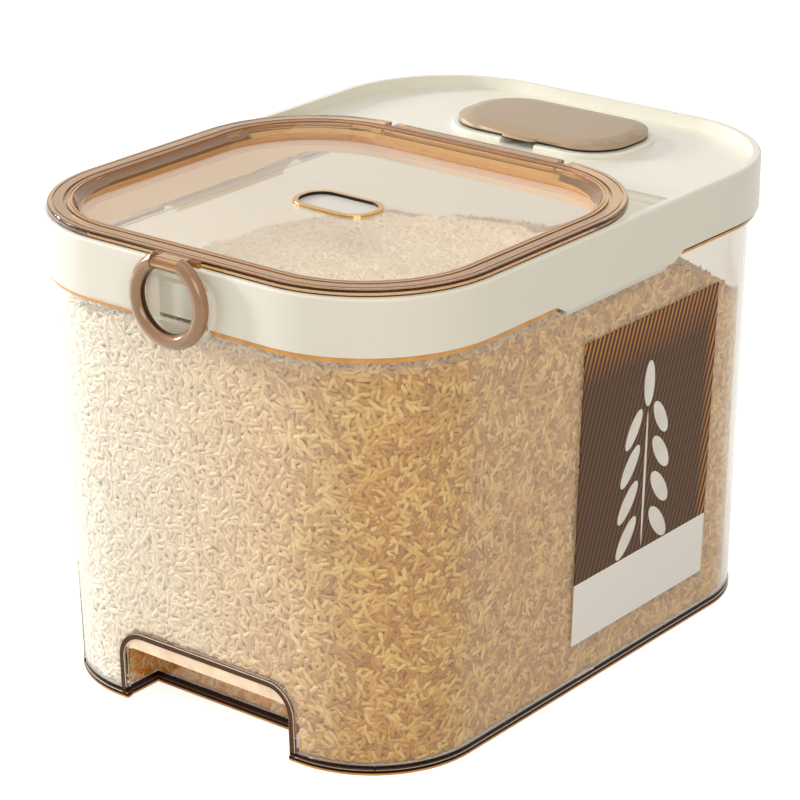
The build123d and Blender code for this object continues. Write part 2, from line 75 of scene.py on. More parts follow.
def put(tree, kind, inputs=None, stops=(), **settings):
    # adds a node with its settings, and fills or links its inputs. A node that is linked gives its first
    # output, a hex code is turned to linear, and stops are the (place, hex) pairs of a colour ramp
    node = tree.nodes.new(kind)
    for name, value in settings.items():
        setattr(node, name, value)
    for name, value in (inputs or {}).items():
        if isinstance(value, bpy.types.Node):
            value = value.outputs[0]
        if isinstance(value, bpy.types.NodeSocket):
            tree.links.new(value, node.inputs[name])
        else:
            isHex = isinstance(value, str) and value.startswith("#")
            node.inputs[name].default_value = linear(value) if isHex else value
    for count, (place, code) in enumerate(stops):
        marks = node.color_ramp.elements
        mark = marks[count] if count < len(marks) else marks.new(place)
        mark.position = place
        mark.color = linear(code)
    return node


def newMaterial(name):
    material = bpy.data.materials.new(name)
    material.use_nodes = True
    material.node_tree.nodes.clear()
    return material, material.node_tree


def places(tree, size=1.0):
    # where a point lies on the object, counted in steps of a real size
    where = put(tree, "ShaderNodeTexCoord").outputs["Object"]
    return put(tree, "ShaderNodeVectorMath", {0: where, 1: (1 / (size * mm),) * 3}, operation="MULTIPLY")


shot = {"azimuth": 38.24, "elevation": 21.41, "distance": 1483.84, "target": (-7.14, -0.04, 111.70),
        "lens": 140.25, "sensor": 36.0}


def direction(azimuth, elevation):
    # from the bin to a place round it: azimuth 0 is in front of it and 90 on its right
    a, e = math.radians(azimuth), math.radians(elevation)
    return Vector((math.sin(a) * math.cos(e), -math.cos(a) * math.cos(e), math.sin(e)))


def makeCamera():
    back = direction(shot["azimuth"], shot["elevation"])
    data = bpy.data.cameras.new("camera")
    data.lens = shot["lens"]
    data.sensor_width = shot["sensor"]
    camera = bpy.data.objects.new("camera", data)
    camera.location = (Vector(shot["target"]) + back * shot["distance"]) * mm
    camera.rotation_mode = "QUATERNION"
    camera.rotation_quaternion = (-back).to_track_quat("-Z", "Y")
    bpy.context.scene.collection.objects.link(camera)
    bpy.context.scene.camera = camera


lampAim = 0.1     # height that the lamps look at (m)
lamps = {
    # azimuth, elevation, distance (m), side (m), watts, colour
    "keyLamp": (-66.0, 16.0, 1.6, 0.16, 15.0, "#FFFCF7"),     # low from the left: the ring's shadow
    "sideLamp": (-89.0, 24.0, 1.6, 0.14, 9.0, "#FFFCF7"),     # the cap's shadow on the deck
    "frontLamp": (-55.0, 34.0, 1.8, 0.9, 1.6, "#FFFFFF"),
    "warmLamp": (46.0, 30.0, 1.6, 0.8, 8.2, "#FFF3E2"),
    "topLamp": (10.0, 72.0, 1.6, 1.0, 3.3, "#FFFDF8"),
}


def makeLamps():
    for name, (azimuth, elevation, distance, side, watts, code) in lamps.items():
        data = bpy.data.lights.new(name, "AREA")
        data.size = side
        data.energy = watts
        data.color = linear(code)[:3]
        away = direction(azimuth, elevation)
        lamp = bpy.data.objects.new(name, data)
        lamp.location = away * distance + Vector((0, 0, lampAim))
        lamp.rotation_mode = "QUATERNION"
        lamp.rotation_quaternion = away.to_track_quat("Z", "Y")
        bpy.context.scene.collection.objects.link(lamp)


surround = {"left": "#FFFFFF", "leftStrength": 0.70, "right": "#F2E8D2", "rightStrength": 0.50,
            "rightWay": (0.85, -0.53, 0.0), "background": 1.0, "throughPlastic": 0.3,
            "paper": "#C8C8C8", "paperSide": 8.0, "paperGlow": 0.80}     # paperSide is in metres


def seenDirectly(tree):
    # 1 for rays that show the background straight or mirrored, and less for those that came through the clear
    # plastic. Through its slight roughness they count as mirrored too, so they are taken off those first
    path = put(tree, "ShaderNodeLightPath").outputs
    through = put(tree, "ShaderNodeMath", {0: path["Is Transmission Ray"], 1: surround["throughPlastic"]},
                  operation="MULTIPLY")
    mirrored = put(tree, "ShaderNodeMath", {0: path["Is Glossy Ray"], 1: path["Is Transmission Ray"]},
                   operation="SUBTRACT", use_clamp=True)
    either = put(tree, "ShaderNodeMath", {0: mirrored, 1: through}, operation="MAXIMUM")
    return put(tree, "ShaderNodeMath", {0: path["Is Camera Ray"], 1: either}, operation="MAXIMUM")


def makeWorld():
    # white for the eye; what it lights is brighter from the left and dimmer and warmer from the right
    world = bpy.data.worlds.new("world")
    bpy.context.scene.world = world
    world.use_nodes = True
    tree = world.node_tree
    tree.nodes.clear()
    around = put(tree, "ShaderNodeTexCoord").outputs["Generated"]
    way = put(tree, "ShaderNodeVectorMath", {0: around, 1: surround["rightWay"]}, operation="DOT_PRODUCT")
    toRight = put(tree, "ShaderNodeMapRange", {"Value": way.outputs["Value"], "From Min": -1.0,
                                               "From Max": 1.0})
    tone = put(tree, "ShaderNodeMix", {0: toRight, 6: surround["left"], 7: surround["right"]},
               data_type="RGBA")
    power = put(tree, "ShaderNodeMapRange", {"Value": toRight, "To Min": surround["leftStrength"],
                                             "To Max": surround["rightStrength"]})
    light = put(tree, "ShaderNodeBackground", {"Color": tone.outputs[2], "Strength": power})
    white = put(tree, "ShaderNodeBackground", {"Color": "#FFFFFF", "Strength": surround["background"]})
    both = put(tree, "ShaderNodeMixShader", {0: seenDirectly(tree), 1: light, 2: white})
    put(tree, "ShaderNodeOutputWorld", {"Surface": both})


def makeFloor():
    # matt white paper: it takes the shadow, and its own glow for the camera keeps it white
    material, tree = newMaterial("white_paper")
    paper = put(tree, "ShaderNodeBsdfDiffuse", {"Color": surround["paper"]})
    glow = put(tree, "ShaderNodeMath", {0: seenDirectly(tree), 1: surround["paperGlow"]},
               operation="MULTIPLY")
    shine = put(tree, "ShaderNodeEmission", {"Color": "#FFFFFF", "Strength": glow})
    both = put(tree, "ShaderNodeAddShader", {0: paper, 1: shine})
    put(tree, "ShaderNodeOutputMaterial", {"Surface": both})
    half = surround["paperSide"] / 2
    corners = [(-half, -half, 0), (half, -half, 0), (half, half, 0), (-half, half, 0)]
    mesh = bpy.data.meshes.new("floor")
    mesh.from_pydata(corners, [], [(0, 1, 2, 3)])
    mesh.materials.append(material)
    floor = bpy.data.objects.new("floor", mesh)
    bpy.context.scene.collection.objects.link(floor)


makeCamera()
makeLamps()
makeWorld()
makeFloor()
bpy.context.scene.view_settings.view_transform = "Standard"
print("camera, lamps and floor made")


clearSan = {"ior": 1.55, "roughness": 0.02}


def clearPlastic(name, tint, shadow, clarity, dieOff, rimTint=None):
    # moulded styrene. shadow is the tint of the light that it lets by, dieOff is how fast each colour dies
    # off inside it, per metre, and rimTint is the tint where the faces carry the rimShare attribute
    material, tree = newMaterial(name)
    colour = tint
    if rimTint:
        share = put(tree, "ShaderNodeAttribute", attribute_name="rimShare").outputs["Fac"]
        colour = put(tree, "ShaderNodeMix", {0: share, 6: tint, 7: rimTint}, data_type="RGBA").outputs[2]
    glass = put(tree, "ShaderNodeBsdfPrincipled", {"Base Color": colour, "Roughness": clearSan["roughness"],
                                                   "IOR": clearSan["ior"], "Transmission Weight": clarity})
    hole = put(tree, "ShaderNodeBsdfTransparent", {"Color": shadow})
    path = put(tree, "ShaderNodeLightPath").outputs
    lets = put(tree, "ShaderNodeMath", {0: path["Is Shadow Ray"], 1: path["Is Diffuse Ray"]},
               operation="MAXIMUM")
    surface = put(tree, "ShaderNodeMixShader", {0: lets, 1: glass, 2: hole})
    strongest = max(dieOff)
    fade = tuple(1 - each / strongest for each in dieOff) + (1.0,)
    soak = put(tree, "ShaderNodeVolumeAbsorption", {"Color": fade, "Density": strongest})
    put(tree, "ShaderNodeOutputMaterial", {"Surface": surface, "Volume": soak})
    return material


streaks = {"length": 9.0, "darkest": 0.7, "palest": 1.35}


def edgePlastic(name, colour, roughness, ior):
    # an opaque colour that stands for clear plastic seen edge-on, mostly painted refraction shade, painted
    # glints and painted shade lines, under a polished skin whose low IOR keeps the reflections from paling it
    material, tree = newMaterial(name)
    streak = put(tree, "ShaderNodeTexNoise", {"Vector": places(tree, streaks["length"]), "Scale": 1.0})
    tone = put(tree, "ShaderNodeMapRange", {"Value": streak, "To Min": streaks["darkest"],
                                            "To Max": streaks["palest"]})
    shade = put(tree, "ShaderNodeVectorMath", {0: linear(colour)[:3], "Scale": tone}, operation="SCALE")
    skin = put(tree, "ShaderNodeBsdfPrincipled", {"Base Color": shade, "Roughness": roughness, "IOR": ior})
    put(tree, "ShaderNodeOutputMaterial", {"Surface": skin})
    return material


moulded = {"cloudSize": 60.0, "cloudDepth": 0.03, "ior": 1.5, "uneven": 0.04}


def solidPlastic(name, colour, roughness, tooth, coat=0.0):
    # injection-moulded plastic: an even colour with faint flow clouds and the fine tooth of the mould,
    # which is given as its size, its strength (0 to 1) and its depth
    size, strength, depth = tooth
    low, high = roughness - moulded["uneven"], roughness + moulded["uneven"]
    pale = linear(colour)
    deep = tuple(c * (1 - moulded["cloudDepth"]) for c in pale[:3]) + (1.0,)
    material, tree = newMaterial(name)
    flow = put(tree, "ShaderNodeTexNoise", {"Vector": places(tree, moulded["cloudSize"]), "Scale": 1.0,
                                            "Detail": 3.0})
    mixed = put(tree, "ShaderNodeMix", {0: flow, 6: deep, 7: pale}, data_type="RGBA").outputs[2]
    fine = put(tree, "ShaderNodeTexNoise", {"Vector": places(tree, size), "Scale": 1.0})
    bump = put(tree, "ShaderNodeBump", {"Height": fine, "Strength": strength, "Distance": depth * mm})
    rough = put(tree, "ShaderNodeMapRange", {"Value": fine, "To Min": low, "To Max": high})
    shell = put(tree, "ShaderNodeBsdfPrincipled", {"Base Color": mixed, "Roughness": rough, "Normal": bump,
                                                   "IOR": moulded["ior"], "Coat Weight": coat})
    put(tree, "ShaderNodeOutputMaterial", {"Surface": shell})
    return material


def metal(name, colour, roughness, stretch, uneven=0.3):
    # drawn or metallised: fine lines along X break the mirror a little; stretch is how many there are in a
    # millimetre each way
    material, tree = newMaterial(name)
    where = put(tree, "ShaderNodeVectorMath", {0: places(tree), 1: stretch}, operation="MULTIPLY")
    lines = put(tree, "ShaderNodeTexNoise", {"Vector": where, "Scale": 1.0})
    rough = put(tree, "ShaderNodeMapRange", {"Value": lines, "To Min": roughness * (1 - uneven),
                                             "To Max": roughness * (1 + uneven)})
    skin = put(tree, "ShaderNodeBsdfPrincipled", {"Base Color": colour, "Metallic": 1.0, "Roughness": rough})
    put(tree, "ShaderNodeOutputMaterial", {"Surface": skin})
    return material


materials = {
    # polished SAN tub, hardly tinted: it shows the rice and a veil of reflections
    "tub": clearPlastic("clear_san_moulded", "#FEFDFB", "#FFFEFC", clarity=1.0, dieOff=(14.0, 19.0, 31.0)),
    # painted refraction shade where its thick foot and beads are seen along their length: almost black, a
    # brown band, and a painted amber glint
    "paintedDarkEdge": edgePlastic("clear_san_painted_dark_edge", "#24120A", roughness=0.35, ior=1.12),
    "paintedBrownEdge": edgePlastic("clear_san_painted_bead_shade", "#523824", roughness=0.3, ior=1.2),
    "paintedAmberGlint": edgePlastic("clear_san_painted_amber_glint", "#D9A05C", roughness=0.2, ior=1.3),
    # spark-eroded grip face of the finger lip: light comes through it but no shapes
    "lip": edgePlastic("clear_san_textured", "#FCE4CA", roughness=0.42, ior=1.3),
    # tea-tinted SAN lid: pale across the panel, brown along every edge
    "lid": clearPlastic("amber_san_moulded", "#F1EBDE", "#FFFDF8", clarity=0.93, dieOff=(11.0, 19.0, 31.0),
                        rimTint="#F4D09C"),
    # its groove walls and outer edge: thin lines of painted refraction shade
    "lidPaintedLine": edgePlastic("amber_san_painted_groove_line", "#96602A", roughness=0.25, ior=1.2),
    "lidPaintedEdgeShade": edgePlastic("amber_san_painted_rim_shade", "#3A1D0D", roughness=0.22, ior=1.25),
    # glossy ivory ABS of the frame
    "ivory": solidPlastic("ivory_abs_gloss", "#E5E4DB", roughness=0.32, tooth=(0.9, 0.04, 0.05)),
    # the mouth's wall, with the warm light that the amber lid lets through painted into its colour
    "mouthWarmLightPainted": solidPlastic("ivory_abs_mouth_painted_warm_light", "#F0D6AA", roughness=0.36, tooth=(0.9, 0.04, 0.05)),
    # milk-brown ABS of the ring, polished by fingers, and a painted shade line along its inside
    "ring": solidPlastic("milk_brown_abs", "#96704A", roughness=0.20, tooth=(0.7, 0.03, 0.05), coat=0.5),
    "ringShade": edgePlastic("milk_brown_painted_inner_shade", "#3B2718", roughness=0.3, ior=1.3),
    # taupe PP of the cap, with a fine spark-eroded tooth, and the ivory PP of the box under it
    "cap": solidPlastic("taupe_pp_satin", "#A9937A", roughness=0.40, tooth=(0.6, 0.10, 0.06)),
    "inner": solidPlastic("ivory_pp_satin", "#ECE9E0", roughness=0.45, tooth=(0.8, 0.05, 0.05)),
    # silicone seals, soft sheen
    "seal": solidPlastic("milky_silicone", "#E9E4DA", roughness=0.55, tooth=(1.5, 0.05, 0.05)),
    "darkSeal": solidPlastic("dark_silicone", "#2B2420", roughness=0.5, tooth=(1.5, 0.05, 0.05)),
    "rod": metal("drawn_steel", "#C9C8C6", roughness=0.25, stretch=(0.05, 6.0, 6.0)),
    # warm metallised plastic round the badge, with painted shade down its inner wall
    "bezel": metal("warm_chrome", "#CFA468", roughness=0.16, stretch=(0.4, 0.4, 0.4)),
    "bezelShade": edgePlastic("warm_chrome_painted_inner_shade", "#241811", roughness=0.3, ior=1.3),
    "plate": solidPlastic("pale_plate_satin", "#D3D0CA", roughness=0.35, tooth=(0.5, 0.05, 0.03)),
}
print("plastics and metals made")


def bakeModifiers(piece):
    # turns what the modifiers make into a plain mesh
    graph = bpy.context.evaluated_depsgraph_get()
    mesh = bpy.data.meshes.new_from_object(piece.evaluated_get(graph))
    piece.modifiers.clear()
    piece.data = mesh
    mesh.name = piece.name


copying = {"merge": 1e-6, "onPlane": 1e-7,                  # metres
           "flat": 0.3, "sharp": 28.0, "flatWeight": 80}    # at a weight of 50 all faces would count alike


def smoothCopy(node, name, finishes, paint=None, cuts=(), sharp=copying["sharp"], even=True):
    # a merged copy of a node with smooth normals; it stands for the node. paint gives a face's finish from
    # its centre and normal, and cuts are the heights where faces are split first
    bm = bmesh.new()
    bm.from_mesh(frame["nodes"][node].data)
    bmesh.ops.remove_doubles(bm, verts=bm.verts, dist=copying["merge"])
    for height in cuts:
        bmesh.ops.bisect_plane(bm, geom=bm.verts[:] + bm.edges[:] + bm.faces[:], dist=copying["onPlane"],
                               plane_co=(0, 0, height * mm), plane_no=(0, 0, 1))
    for face in bm.faces:
        finish = paint(face.calc_center_median() / mm, face.normal) if paint else finishes[0]
        face.material_index = finishes.index(finish)
    bmesh.ops.dissolve_limit(bm, angle_limit=math.radians(copying["flat"]), verts=bm.verts, edges=bm.edges,
                             delimit={"MATERIAL"})
    mesh = bpy.data.meshes.new(name)
    bm.to_mesh(mesh)
    bm.free()
    for layer in list(mesh.uv_layers):
        mesh.uv_layers.remove(layer)
    for finish in finishes:
        mesh.materials.append(materials[finish])
    mesh.polygons.foreach_set("use_smooth", [True] * len(mesh.polygons))
    mesh.set_sharp_from_angle(angle=math.radians(sharp))
    piece = bpy.data.objects.new(name, mesh)
    bpy.context.scene.collection.objects.link(piece)
    if even:
        weigh = piece.modifiers.new("even", "WEIGHTED_NORMAL")   # flat walls stay flat beside their fillets
        weigh.keep_sharp = True
        weigh.weight = copying["flatWeight"]
        bakeModifiers(piece)
    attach(piece, frame["nodes"][node]["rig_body"])
    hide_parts(node)
    return piece


def beyond(qx, qy, corner):
    # how far places lie outside a rounded outline, from their offsets to the corner's centre
    return np.hypot(np.maximum(qx, 0), np.maximum(qy, 0)) + np.minimum(np.maximum(qx, qy), 0) - corner


tub = {"base": (214.1, 304.6, 53.6, 2.5),      # width, length, corner and middle of its outline on the floor
       "top": (225.5, 315.9, 62.45, 0.0),      # the same at topHeight
       "topHeight": 199.3, "wall": 2.5, "floor": 4.0,
       "recessWidth": 99.0, "recessHeight": 33.5, "recessCorner": 12.0, "recessDepth": 21.3,
       "lipBottom": 27.4, "lipFacing": 0.5,
       # footTop to recessBand, facing and beadReach bound the painted refraction shade; flangeBottom to
       # pocketHalf bound the painted flange glint and shadow line
       "footTop": 1.0, "bandMiddle": 2.2, "bandHigh": 3.2, "bandTop": 4.3, "recessBand": 5.6, "facing": 0.9,
       "beadReach": 4.0, "flangeBottom": 196.8, "flangeMiddle": 198.2, "flangeOut": 1.5,
       "flangeFrom": -20.0, "flangeRear": 40.0, "pocketHalf": 19.0,
       "skin": 0.3, "hair": 0.1, "normalStep": 0.01, "sameWall": 0.985}
tubFront = tub["base"][3] - tub["base"][1] / 2
recessBack = tubFront + tub["recessDepth"]
tubFinishes = ["tub", "paintedDarkEdge", "paintedBrownEdge", "paintedAmberGlint", "lip", "inner"]
tubCuts = [tub[k] for k in ("footTop", "bandMiddle", "bandHigh", "bandTop", "recessBand", "flangeMiddle")]


def tubPlan(z):
    # width, length, corner and middle of the tub's outside at height z
    share = z / tub["topHeight"]
    return [low + (high - low) * share for low, high in zip(tub["base"], tub["top"])]


def outsideTub(x, y, z):
    # how far a point lies outside the tub's plain outline
    width, length, corner, middle = tubPlan(z)
    return beyond(abs(x) - width / 2 + corner, abs(y - middle) - length / 2 + corner, corner)


def outsideArch(x, z):
    # how far places on the front lie outside the recess's arch
    corner = tub["recessCorner"]
    return beyond(abs(x) - tub["recessWidth"] / 2 + corner, z - tub["recessHeight"] + corner, corner)


def tubPaint(centre, normal):
    # painted refraction shade and amber glints on the base band with its foot, the bead round the recess and
    # the flange under the collar, a painted shadow line along the flange's upper rear, and the finger lip
    x, y, z = centre
    out = outsideTub(x, y, z)
    onSkin = out > -tub["skin"]
    inRecess = y < recessBack + tub["hair"] and outsideArch(x, z) <= tub["hair"] / 2
    inBand = z < tub["bandTop"] and onSkin or z < tub["recessBand"] and inRecess
    # painted refraction shade round the base band and the recess: almost black, brown in its middle, a
    # painted amber glint along the foot
    if inBand and abs(normal.z) < tub["facing"]:
        middle = tub["bandMiddle"] < z < tub["bandHigh"]
        return "paintedAmberGlint" if z < tub["footTop"] else "paintedBrownEdge" if middle else "paintedDarkEdge"
    reach = tub["beadReach"]
    byRecess = z < tub["recessHeight"] + reach and abs(x) < tub["recessWidth"] / 2 + reach
    # painted brown refraction shade on the front face of the bead round the recess
    if byRecess and out > tub["hair"]:
        return "paintedBrownEdge" if normal.y < -tub["facing"] else "inner"
    # the flange under the collar: a painted amber glint, and a painted shadow line along its upper rear
    if z > tub["flangeBottom"] and out > tub["flangeOut"]:
        upper = z > tub["flangeMiddle"]
        if abs(x) < tub["pocketHalf"] and y < 0 or upper and x <= tub["flangeFrom"]:
            return "inner"
        return "paintedDarkEdge" if upper and y > tub["flangeRear"] else "paintedAmberGlint"
    onLip = z > tub["lipBottom"] - tub["hair"] and normal.y < -tub["lipFacing"]
    return "lip" if onSkin and inRecess and onLip else "tub"


def trueNormals(piece):
    # walls get the normals of the tapered outline itself, so they refract cleanly
    mesh = piece.data
    step = tub["normalStep"]
    known = {}

    def wallNormal(index):
        if index not in known:
            x, y, z = mesh.vertices[index].co / mm
            known[index] = Vector([outsideTub(x + a, y + b, z + c) - outsideTub(x - a, y - b, z - c)
                                   for a, b, c in ((step, 0, 0), (0, step, 0), (0, 0, step))]).normalized()
        return known[index]

    normals = [corner.vector.copy() for corner in mesh.corner_normals]
    for face in mesh.polygons:
        for k in face.loop_indices:
            wall = wallNormal(mesh.loops[k].vertex_index)
            along = wall.dot(face.normal)
            if abs(along) > tub["sameWall"]:
                normals[k] = wall if along > 0 else -wall
    mesh.normals_split_custom_set(normals)


lid = {"half": 115.3, "front": -160.5, "rear": 52.6, "corner": 65.0,
       "edgeLow": 226.4, "edgeHigh": 227.6, "edgeFrom": -0.2, "edgeTo": 0.4, "grooveFloor": 227.7,
       "hinge": 4.0, "rim": 15.4, "panelUnder": (221.0, 223.0), "upright": 0.6}
mouth = {"from": 11.3, "to": 13.4, "bottom": 190.0, "upright": 0.5}     # how far in from the lid's outline


def lidInset(x, y):
    # how far a place lies in from the lid's outline
    middle, reach = (lid["front"] + lid["rear"]) / 2, (lid["rear"] - lid["front"]) / 2
    corner = lid["corner"]
    return -beyond(abs(x) - lid["half"] + corner, abs(y - middle) - reach + corner, corner)


def lidPaint(centre, normal):
    # painted dark lines on the upright walls of its grooves, and painted shade on the outer edge of its rim
    # with a clear line along it
    x, y, z = centre
    if abs(normal.z) > lid["upright"] or y > lid["rear"] - lid["hinge"]:
        return "lid"
    if lid["edgeFrom"] < lidInset(x, y) < lid["edgeTo"]:
        return "lid" if lid["edgeLow"] < z < lid["edgeHigh"] else "lidPaintedEdgeShade"
    return "lidPaintedLine" if z > lid["grooveFloor"] else "lid"


def tintRim(piece):
    # the rim's faces carry the deeper tint
    share = piece.data.attributes.new("rimShare", "FLOAT", "FACE")
    low, high = lid["panelUnder"]
    for face in piece.data.polygons:
        corners = [piece.data.vertices[k].co / mm for k in face.vertices]
        inset = sum(lidInset(p.x, p.y) for p in corners) / len(corners)
        underPanel = face.normal.z < -lid["upright"] and low < corners[0].z < high
        share.data[face.index].value = 1.0 if inset < lid["rim"] and not underPanel else 0.0


def mouthPaint(centre, normal):
    # painted warm light on the wall round the filling mouth
    x, y, z = centre
    inset = lidInset(x, y)
    inward = lidInset(x + normal.x, y + normal.y) > inset
    onWall = mouth["from"] < inset < mouth["to"] and z > mouth["bottom"]
    return "mouthWarmLightPainted" if abs(normal.z) < mouth["upright"] and inward and onWall else "ivory"


ring = {"outside": 21.7, "inside": 15.4, "facing": 0.93}
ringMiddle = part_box("pull_ring")[0][2] / mm + ring["outside"]


def ringPaint(centre, normal):
    # a painted shade line along the inside of the ring
    away = Vector((centre.x, 0, centre.z - ringMiddle))
    inward = away.normalized().dot(normal) < -ring["facing"]
    return "ringShade" if away.length < ring["inside"] and inward else "ring"


badge = {"upright": 0.6}
badgeMiddle = sum((Vector(corner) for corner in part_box("badge_bezel")), Vector()) / 2 / mm


def bezelPaint(centre, normal):
    # painted shade down the bezel's inner wall
    inner = abs(normal.z) < badge["upright"] and normal.dot(badgeMiddle - centre) > 0
    return "bezelShade" if inner else "bezel"


cap = {"gapTop": 223.0, "sharp": 50.0}


def capPaint(centre, normal):
    # a painted shadow along the gap under the cap
    return "paintedDarkEdge" if centre.z < cap["gapTop"] else "cap"


sealShrink = 0.04


def shrink(piece, amount):
    # a hair smaller all round, so no face lies in the same plane as the clear part it touches
    for vertex, normal in zip(piece.data.vertices, [v.normal.copy() for v in piece.data.vertices]):
        vertex.co -= normal * amount * mm


carried = {
    # CAD node: piece name, finishes, which finish a face wears, record slot
    "top_frame": ("ivoryFrame", ["ivory", "mouthWarmLightPainted"], mouthPaint, "ivory_frame"),
    "pull_ring": ("pullRing", ["ring", "ringShade"], ringPaint, "brown_ring"),
    "desiccant_box": ("slottedBox", ["inner"], None, "inner_box"),
    "badge_bezel": ("badgeBezel", ["bezel", "bezelShade"], bezelPaint, "bezel"),
    "badge_plate": ("badgePlate", ["plate"], None, "badge"),
    "lid_gasket": ("lidSeal", ["seal"], None, "seal"),
    "frame_gasket": ("frameSeal", ["seal"], None, "seal"),
    "box_gasket": ("boxSeal", ["darkSeal"], None, "seal"),
    "hinge_rod": ("hingeRod", ["rod"], None, "rod"),
}
for node, (name, finishes, paint, slot) in carried.items():
    piece = smoothCopy(node, name, finishes, paint)
    if "gasket" in node:
        shrink(piece, sealShrink)
taupeCap = smoothCopy("box_cap", "taupeCap", ["cap", "paintedDarkEdge"], capPaint, [cap["gapTop"]],
                      sharp=cap["sharp"], even=False)
amberLid = smoothCopy("flip_lid", "amberLid", ["lid", "lidPaintedLine", "lidPaintedEdgeShade"], lidPaint,
                      [lid["edgeLow"], lid["edgeHigh"]])
tintRim(amberLid)
clearTub = smoothCopy("container_shell", "clearTub", tubFinishes, tubPaint, tubCuts)
trueNormals(clearTub)
print("CAD pieces carried over")


grain = {"length": 7.9, "width": 2.8, "flat": 0.42,      # flat is its thickness against its width
         "sides": 6, "rings": 3, "spacing": 1.82, "sink": 0.55, "tilt": 4.5, "clear": 0.05,
         "smallest": (0.85, 0.85, 0.85), "largest": (1.12, 1.08, 1.08), "density": 1.0e6,
         "sideSeed": 7, "crownSeed": 17, "recessSeed": 27}
chance = {"lean": 11, "spin": 12, "stretch": 13, "shade": 14, "sink": 15}     # seeds inside the tree
heap = {"bedGap": 0.9, "coreGap": 0.9, "floorDip": 0.3, "archGap": 0.1, "edge": 185.0,
        "blur": 60.0, "pull": 2.2,      # how softly and how steeply a level counts with distance
        "core": {"steps": 96, "rows": 14, "rings": 16}, "bed": {"steps": 432, "rows": 84, "rings": 30},
        # the steps round the wall that each side bed takes, and the half of the top that each crown bed takes
        "sides": {"riceFront": (-54, 54), "riceRight": (54, 162), "riceRear": (162, 270),
                  "riceLeft": (270, 378)},
        "crowns": {"riceCrownFront": -1, "riceCrownRear": 1}}
heapPoints = [
    # x, y, z: listed levels of the heap's surface
    (-92, -138, 182), (-60, -146, 189), (-30, -150, 195), (0, -150, 199), (50, -150, 202), (92, -138, 203),
    (104, -80, 205), (104, 0, 203), (104, 38, 200), (104, 60, 186), (104, 80, 177), (104, 97, 168),
    (104, 116, 156), (-48, -93, 197), (-46, -76, 199), (-43, -59, 200), (-40, -44, 200), (-34, -33, 201),
    (-26, -20, 201), (-13, -6, 201), (9, 9, 201), (27, 16, 200), (42, 18, 200), (62, 10, 202), (0, -60, 204),
    (40, -50, 204), (10, -100, 203), (60, -100, 204), (75, -30, 204), (-75, -100, 186), (-72, -60, 184),
    (-66, -20, 183), (-50, 10, 182), (-20, 32, 183), (20, 46, 184), (60, 42, 190), (85, 60, 184),
    (-104, -100, 178), (-104, -40, 172), (-104, 20, 165), (-104, 80, 158), (0, 70, 172), (-45, 70, 164),
    (0, 110, 162), (60, 110, 160), (0, 153, 150), (-70, 140, 150), (80, 142, 150),
]
outlines = {}     # the tub's inside at the floor and at topHeight, kept for each inset and number of steps


def tubOutline(z, inset, steps):
    # points round the tub's inside at height z, counter-clockwise from the middle of the front
    width, length, corner, middle = tubPlan(z)
    corner -= inset
    wide, long = width / 2 - inset - corner, length / 2 - inset - corner
    arc = corner * math.pi / 2
    runs = [wide, arc, 2 * long, arc, 2 * wide, arc, 2 * long, arc, wide]
    starts = [(0, -long - corner), (wide + corner, -long), (wide, long + corner), (-wide - corner, long),
              (-wide, -long - corner)]
    headings = [(1, 0), (0, 1), (-1, 0), (0, -1), (1, 0)]
    centres = [(wide, -long), (wide, long), (-wide, long), (-wide, -long)]
    total = sum(runs)
    points = []
    for k in range(steps):
        s = total * k / steps
        run = 0
        while s > runs[run]:
            s -= runs[run]
            run += 1
        side = run // 2
        if run % 2:
            angle = -math.pi / 2 + side * math.pi / 2 + s / corner
            x = centres[side][0] + corner * math.cos(angle)
            y = centres[side][1] + corner * math.sin(angle)
        else:
            x = starts[side][0] + headings[side][0] * s
            y = starts[side][1] + headings[side][1] * s
        points.append((x, y + middle))
    return points


def insideWall(k, z, inset, steps):
    # the place on the wall at step k and height z
    key = (inset, steps)
    if key not in outlines:
        outlines[key] = (tubOutline(0, inset, steps), tubOutline(tub["topHeight"], inset, steps))
    low, high = outlines[key]
    share = z / tub["topHeight"]
    return tuple(a + (b - a) * share for a, b in zip(low[k], high[k])) + (z,)


def heapHeight(x, y):
    # smooth blend of the listed levels
    top = bottom = 0.0
    for px, py, pz in heapPoints:
        weight = 1 / ((x - px) ** 2 + (y - py) ** 2 + heap["blur"]) ** heap["pull"]
        top += weight * pz
        bottom += weight
    return top / bottom


def meshPiece(name, points, faces):
    mesh = bpy.data.meshes.new(name)
    mesh.from_pydata([tuple(c * mm for c in p) for p in points], [], faces)
    piece = bpy.data.objects.new(name, mesh)
    bpy.context.scene.collection.objects.link(piece)
    return piece


def gridFaces(rows, columns, wrap=False):
    across = columns if wrap else columns - 1
    return [(r * columns + c, r * columns + (c + 1) % columns, (r + 1) * columns + (c + 1) % columns,
             (r + 1) * columns + c) for r in range(rows - 1) for c in range(across)]


def riceShell(inset, steps, rows, rings):
    # side rows from the floor to the heap's edge, then rings in to the middle
    base = tub["floor"] - heap["floorDip"]
    edge = [insideWall(k, heap["edge"], inset, steps) for k in range(steps)]
    tops = [heapHeight(x, y) for x, y, z in edge]
    side = [[insideWall(k, base + (tops[k] - base) * row / (rows - 1), inset, steps) for k in range(steps)]
            for row in range(rows)]
    crown = []
    for ringCount in range(1, rings + 1):
        t = 1 - ringCount / rings
        line = [(x * t, y * t) for x, y, z in side[-1]]
        crown.append([(x, y, heapHeight(x, y)) for x, y in line])
    return side, crown


